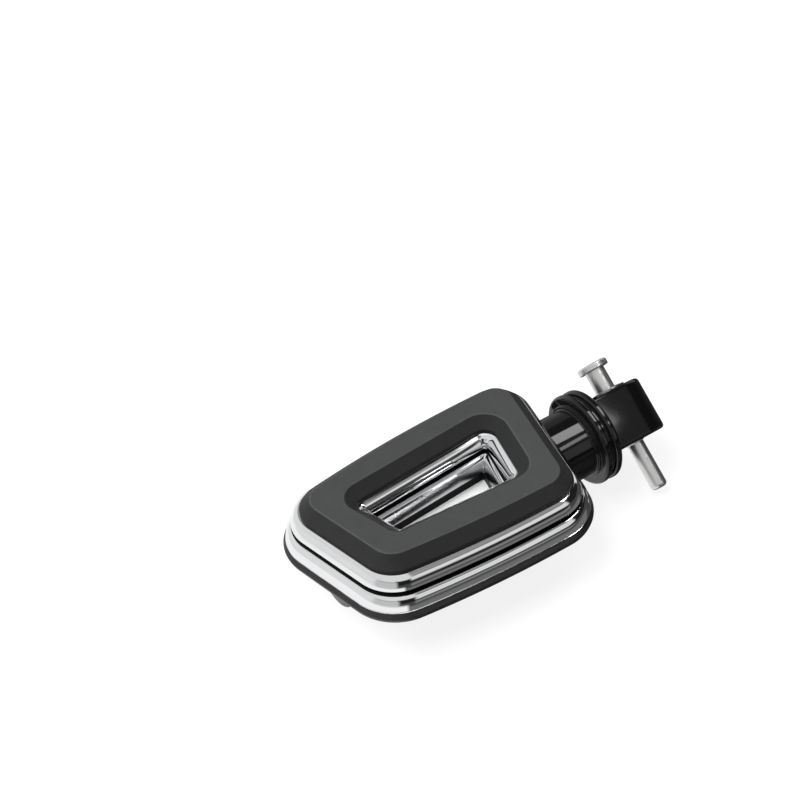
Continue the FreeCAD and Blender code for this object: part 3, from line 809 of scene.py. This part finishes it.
class PEG_OT_base(bpy.types.Operator):
    """Black underside that rounds in below the ridges, with the half-round hub blended into it"""

    bl_idname = "peg.base"
    bl_label = "Underside"

    def execute(self, context):
        size, finish = context.scene.peg_sizes, context.scene.peg_finish
        turns = [(spread, depth) for spread, depth, _ in BASE_TURNS]
        top, bottom = turns[0][1], turns[-1][1]
        level = size.top_height - bottom
        profile = eased([(BASE_LAND, top), *turns, (BASE_LAND, bottom)],
                        [turn for _, _, turn in BASE_TURNS])
        plate = np.concatenate([grown(outer_outline(size), profile, size),
                                round_foot(size, NEST_WALL, (bottom, top))])
        paint = [base_finish(finish)]
        base = piece("black_base", [skin(plate, closed=True)], paint)
        carved(base, [plug(SCREW_HOLE, level - 0.001, level + SCREW_SINK, size.tread_centre, across)
                      for across in (-SCREW_PLACE, SCREW_PLACE)])
        hub = piece("hub", [skin(self.hub(size, level))], paint)
        carved(hub, [plug(SET_SCREW_HOLE, *SET_SCREW_CUT, along, 0) for along in SET_SCREW_PLACES])
        joined(base, hub)
        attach(base, "peg")
        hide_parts("base_casting")
        return {"FINISHED"}

    @staticmethod
    def hub(size, level):
        """Hub sections along the stem: a circle of radius r below the base, blended by radius f.

        The blend's centre lies f below the base and r + f from the axis, so
        y = sqrt((r + f)^2 - (level - f)^2); r and f shrink towards the rounded tip end.
        """
        end = size.tread_centre + size.hub_tip
        ease, blend_run, least_fillet, sections = 0.0016, 0.008, 0.00005, 60
        rim_width, rim_rise = 0.0006, 0.0004
        turn = np.linspace(0, math.pi / 2, 9)
        along = np.concatenate([np.linspace(SHAFT_SEAT, end - ease - 0.0002, sections),
                                end - ease + ease * np.sin(turn)])
        radius = np.concatenate([np.full(sections, size.hub_radius),
                                 size.hub_radius - ease + ease * np.cos(turn)])
        fade = np.clip((end - ease - along) / blend_run, 0, 1)
        fillet = least_fillet + size.hub_fillet * fade * fade * (3 - 2 * fade)
        across = np.sqrt((radius + fillet) ** 2 - (level - fillet) ** 2)
        lean = np.arctan2(fillet - level, across)
        t = np.linspace(0, 1, 10)[None]
        swing = math.pi / 2 + t * (math.pi / 2 - lean[:, None])
        blend_y = across[:, None] + fillet[:, None] * np.cos(swing)
        blend_z = (level - fillet)[:, None] + fillet[:, None] * np.sin(swing)
        t = np.linspace(0, 1, 64)[None, 1:-1]
        round_turn = -lean[:, None] - (math.pi - 2 * lean[:, None]) * t
        arc_y = radius[:, None] * np.cos(round_turn)
        arc_z = radius[:, None] * np.sin(round_turn)
        rim_y = across[:, None] + rim_width
        rim_z = np.full((len(along), 1), level + rim_rise)
        y = np.hstack([rim_y, blend_y, arc_y, -blend_y[:, ::-1], -rim_y])
        z = np.hstack([rim_z, blend_z, arc_z, blend_z[:, ::-1], rim_z])
        x = np.broadcast_to(along[:, None], y.shape)
        return np.stack([x, y, z], axis=2)


class PEG_OT_stem(bpy.types.Operator):
    """Gloss black stem: round shaft, grooved collar and the tongue with its pin bore"""

    bl_idname = "peg.stem"
    bl_label = "Stem"

    def execute(self, context):
        size, finish = context.scene.peg_sizes, context.scene.peg_finish
        shaft, collar, step = size.shaft_radius, size.collar_radius, COLLAR_STEP
        front, back = size.collar_front, size.collar_front - size.collar_width
        floor = collar - COLLAR_GROOVE
        profile = eased(
            [(SPIGOT_END, 0), (SPIGOT_END, SPIGOT_RADIUS), (SHAFT_SEAT, SPIGOT_RADIUS),
             (SHAFT_SEAT, shaft), (front + COLLAR_STEP_RUN, shaft),
             (front + COLLAR_STEP_RUN, shaft + step), (front, shaft + step), (front, collar),
             (front - LIP_WIDTH, collar), (front - LIP_WIDTH, floor), (back + LIP_WIDTH, floor),
             (back + LIP_WIDTH, collar), (back, collar), (back, SPIGOT_RADIUS),
             (back - step, SPIGOT_RADIUS), (back - step, 0)],
            [0.0004, 0.0003, 0.0003, 0.0005, 0.0003, 0.0003, 0.0012,
             0.0010, 0.0003, 0.0003, 0.0010, 0.0012, 0.0003, 0.0003],
        )
        turned_part = turned(profile[1:-1], (1, 0, 0), PIN_LINE, 160)
        tongue = skin(self.tongue(size, back), closed=True)
        stem = piece("black_stem", [skin(turned_part), tongue], [stem_finish(finish)], sharp=50)
        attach(stem, "peg")
        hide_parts("mount_stem")
        return {"FINISHED"}

    @staticmethod
    def tongue(size, back):
        """A plate round-ended about the pin and bored through; outline and bore share angles."""
        eye, reach = size.tongue_half, back + TONGUE_ROOT
        turn = np.linspace(math.pi / 2, 1.5 * math.pi, 72)
        run = np.linspace(0, reach, 14)[1:]
        rise = np.linspace(-eye, eye, 22)[1:]
        flat_x = np.concatenate([eye * np.cos(turn), run, np.full(21, reach), run[::-1][1:]])
        flat_w = np.concatenate([eye * np.sin(turn), np.full(13, -eye), rise, np.full(12, eye)])
        out_x = np.concatenate([np.cos(turn), np.zeros(13), np.ones(21), np.zeros(12)])
        out_w = np.concatenate([np.sin(turn), np.full(13, -1.0), np.zeros(21), np.ones(12)])
        half = size.tongue_thickness / 2
        edge = eased([(-0.003, -half), (0, -half), (0, half), (-0.003, half)], [TONGUE_ROUND] * 2)
        round_bore = np.arctan2(flat_w, flat_x)
        lip = eased([(0.0012, half), (0, half), (0, -half), (0.0012, -half)], [EYE_ROUND] * 2)
        bore = size.shank_radius + EYE_GAP + lip[:, :1]
        x = np.vstack([flat_x + edge[:, :1] * out_x, bore * np.cos(round_bore)])
        w = np.vstack([flat_w + edge[:, :1] * out_w, bore * np.sin(round_bore)])
        t = np.concatenate([edge[:, 1], lip[:, 1]])[:, None]
        return (x[..., None] * np.array([1.0, 0, 0]) + w[..., None] * PIN_ACROSS
                + np.broadcast_to(t, x.shape)[..., None] * PIN_LINE)


class PEG_OT_pin(bpy.types.Operator):
    """Zinc fold pin: low head, stout shank and the plain journal at its lower end"""

    bl_idname = "peg.pin"
    bl_label = "Fold pin"

    def execute(self, context):
        size, finish = context.scene.peg_sizes, context.scene.peg_finish
        shank, journal = size.shank_radius, size.journal_radius
        start = PIN_SEAT - PIN_HEAD_HEIGHT
        profile = eased(
            [(start, 0), (start, PIN_HEAD), (PIN_SEAT, PIN_HEAD), (PIN_SEAT, shank),
             (PIN_SHOULDER, shank), (PIN_SHOULDER, journal), (PIN_END, journal), (PIN_END, 0)],
            [0.0008, 0.0003, 0.0002, 0.0003, 0.0002, PIN_END_ROUND],
        )
        zinc = metal_finish("pin_zinc", finish.zinc, 0.36, 300, 0.1)
        rings = turned(profile[1:-1], PIN_LINE, (1, 0, 0), 96)
        pin = piece("fold_pin", [skin(rings)], [zinc], sharp=50)
        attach(pin, "pivot")
        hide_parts("clevis_pin")
        return {"FINISHED"}


class PEG_OT_washer(bpy.types.Operator):
    """Dished spring washer between the tongue and the bracket"""

    bl_idname = "peg.washer"
    bl_label = "Spring washer"

    def execute(self, context):
        finish = context.scene.peg_finish
        rest, thick, dish = -0.01115, 0.0007, 0.0005
        rim, bore = 0.0076, 0.00425
        middle = 0.5 * (rim + bore)
        loop = eased(
            [(rest - 0.5 * dish, middle), (rest, rim), (rest - thick, rim),
             (rest - thick - dish, bore), (rest - dish, bore), (rest - 0.5 * dish, middle)],
            [0.00018] * 4, steps=5, hold=0.00005,
        )[:-1]
        steel = metal_finish("washer_spring_steel", finish.spring_steel, 0.32, 420)
        rings = turned(loop, PIN_LINE, (1, 0, 0), 96)
        washer = piece("spring_ring", [skin(rings, closed=True)], [steel])
        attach(washer, "pivot")
        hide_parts("spring_washer")
        return {"FINISHED"}


class PEG_OT_screws(bpy.types.Operator):
    """Black finish for the screws under the base"""

    bl_idname = "peg.screws"
    bl_label = "Screws"

    def execute(self, context):
        finish = context.scene.peg_finish
        oxide = metal_finish("screw_black_oxide", finish.black_oxide, 0.38, 500)
        for node in ("base_screws", "stem_set_screws"):
            mesh = frame["nodes"][node].data
            mesh.materials.clear()
            mesh.materials.append(oxide)
        return {"FINISHED"}


class PEG_OT_stage(bpy.types.Operator):
    """Plain pale floor, soft lamps and the camera at the photograph's angle"""

    bl_idname = "peg.stage"
    bl_label = "Stage"

    def execute(self, context):
        stage = context.scene.peg_stage
        self.floor(stage)
        self.room(context.scene, stage)
        self.lamps()
        self.camera(context.scene, stage)
        context.scene.view_settings.view_transform = "Standard"
        return {"FINISHED"}

    @staticmethod
    def floor_finish(stage):
        """Pale floor, paler to the camera; gloss sees the room beyond it."""
        made, nodes = material("pale_floor")
        tone = stage.floor_colour
        tint = nodes.tint(nodes.noise(3, 2), darker(tone, 0.99), tone)
        shader = nodes.surface(tint, Roughness=0.9, Specular_IOR_Level=0.0)
        output = nodes.tree.get_output_node("ALL")
        path = nodes.add("ShaderNodeLightPath").outputs
        white = nodes.add("ShaderNodeEmission").outputs[0]
        clear = nodes.add("ShaderNodeBsdfTransparent").outputs[0]
        seen = nodes.math("MULTIPLY", path["Is Camera Ray"], FLOOR_WHITE)
        pale = nodes.choice(seen, shader, white)
        nodes.join(nodes.choice(path["Is Glossy Ray"], pale, clear), output.inputs["Surface"])
        return made

    def floor(self, stage):
        """Flat rings out to two metres, white to the camera and shaded by the lamps elsewhere."""
        turns = 2 * math.pi * np.arange(64) / 64
        radii = np.array([0.02, 0.2, 0.6, 2.0])
        level = CAD_BOX[0].z - stage.floor_gap - STEM_CENTRE[2]
        rings = np.stack([radii[:, None] * np.cos(turns), radii[:, None] * np.sin(turns),
                          np.full((4, 64), level)], axis=2)
        plane = piece("floor", [skin(rings, caps=(True, False))], [self.floor_finish(stage)])

    @staticmethod
    def room(scene, stage):
        """Even room light; camera and glass see white, and gloss sees white with soft dark screens.

        Each soft screen is a smooth range of the direction's angle round (atan2 of y and x, in
        degrees) and of its height (the sine of its elevation), and the brightest is seen.
        """
        world = bpy.data.worlds.new("soft_room")
        scene.world = world
        nodes = Nodes(world)
        place = nodes.add("ShaderNodeTexCoord").outputs["Generated"]
        parts = nodes.add("ShaderNodeSeparateXYZ", {0: place}).outputs
        round_angle = nodes.math("ARCTAN2", parts["Y"], parts["X"])
        seen = None
        for level, start, end, side_soft, low, high, soft in SCREENS:
            sideways = nodes.between(round_angle, *map(math.radians, (start, end, side_soft)))
            part = nodes.math("MULTIPLY", sideways, nodes.between(parts["Z"], low, high, soft))
            lit = nodes.math("MULTIPLY", part, level)
            seen = lit if seen is None else nodes.math("MAXIMUM", seen, lit)
        path = nodes.add("ShaderNodeLightPath").outputs
        even, gloss = nodes.background(stage.room_light), nodes.background(seen)
        first = nodes.choice(path["Is Glossy Ray"], even, gloss)
        straight = nodes.math("MAXIMUM", path["Is Camera Ray"], path["Is Transmission Ray"])
        light = nodes.choice(straight, first, nodes.background(1.0))
        nodes.add("ShaderNodeOutputWorld", {"Surface": light})

    @staticmethod
    def lamps():
        """The soft lamps, each facing the point that it is aimed at."""
        for name, aim, azimuth, elevation, reach, width, height, power, gloss_only in LAMPS:
            lamp = bpy.data.lights.new(name, "AREA")
            lamp.shape = "RECTANGLE"
            lamp.size, lamp.size_y = width, height
            lamp.energy = power
            made = bpy.data.objects.new(name, lamp)
            made.visible_camera = False
            made.visible_glossy = gloss_only
            made.visible_diffuse = not gloss_only
            bpy.context.scene.collection.objects.link(made)
            back = direction(math.radians(azimuth), math.radians(elevation))
            target = np.array([aim, *LAMP_AIM]) + STEM_CENTRE
            made.matrix_world = facing(back, target + reach * back)

    @staticmethod
    def camera(scene, stage):
        """Camera placed and turned as the one that took the photograph."""
        back = direction(stage.azimuth, stage.elevation)
        place = np.array(CAMERA_PLACE) + STEM_CENTRE
        data = bpy.data.cameras.new("photo_camera")
        data.sensor_width = SENSOR_WIDTH
        data.lens = stage.focal * 1000
        data.clip_start = 0.01
        made = bpy.data.objects.new("photo_camera", data)
        scene.collection.objects.link(made)
        made.matrix_world = facing(back, place, stage.roll)
        scene.camera = made


def direction(azimuth, elevation):
    """The unit direction at an angle round from +X and an angle up."""
    level = math.cos(elevation)
    return np.array([level * math.cos(azimuth), level * math.sin(azimuth), math.sin(elevation)])


def facing(back, place, roll=0.0):
    """A frame whose own +Z points back, with its +X level and then rolled."""
    right = np.cross((0, 0, 1), back)
    right = right / np.linalg.norm(right)
    up = np.cross(back, right)
    right, up = (math.cos(roll) * right + math.sin(roll) * up,
                 math.cos(roll) * up - math.sin(roll) * right)
    placed = Matrix(np.column_stack([right, up, back]).tolist()).to_4x4()
    placed.translation = place.tolist()
    return placed


class PEG_PT_panel(bpy.types.Panel):
    """The peg's builders, sizes and finishes"""

    bl_idname = "PEG_PT_panel"
    bl_label = "Foot Peg"
    bl_space_type = "VIEW_3D"
    bl_region_type = "UI"
    bl_category = "Foot Peg"

    def draw(self, context):
        for operator in OPERATORS:
            self.layout.operator(operator.bl_idname)
        for group in (context.scene.peg_sizes, context.scene.peg_finish, context.scene.peg_stage):
            box = self.layout.box()
            for field in group.__annotations__:
                box.prop(group, field)


OPERATORS = (PEG_OT_stage, PEG_OT_tread, PEG_OT_ridges, PEG_OT_base, PEG_OT_stem, PEG_OT_pin,
             PEG_OT_washer, PEG_OT_screws)
GROUPS = {"peg_sizes": PegSizes, "peg_finish": PegFinish, "peg_stage": PegStage}


def register():
    for kind in (*GROUPS.values(), *OPERATORS, PEG_PT_panel):
        bpy.utils.register_class(kind)
    for name, kind in GROUPS.items():
        setattr(bpy.types.Scene, name, PointerProperty(type=kind))


def unregister():
    for name in GROUPS:
        delattr(bpy.types.Scene, name)
    for kind in (PEG_PT_panel, *reversed(OPERATORS), *GROUPS.values()):
        bpy.utils.unregister_class(kind)


def main():
    register()
    for operator in OPERATORS:
        group, name = operator.bl_idname.split(".")
        getattr(getattr(bpy.ops, group), name)()


if __name__ == "__main__":
    main()
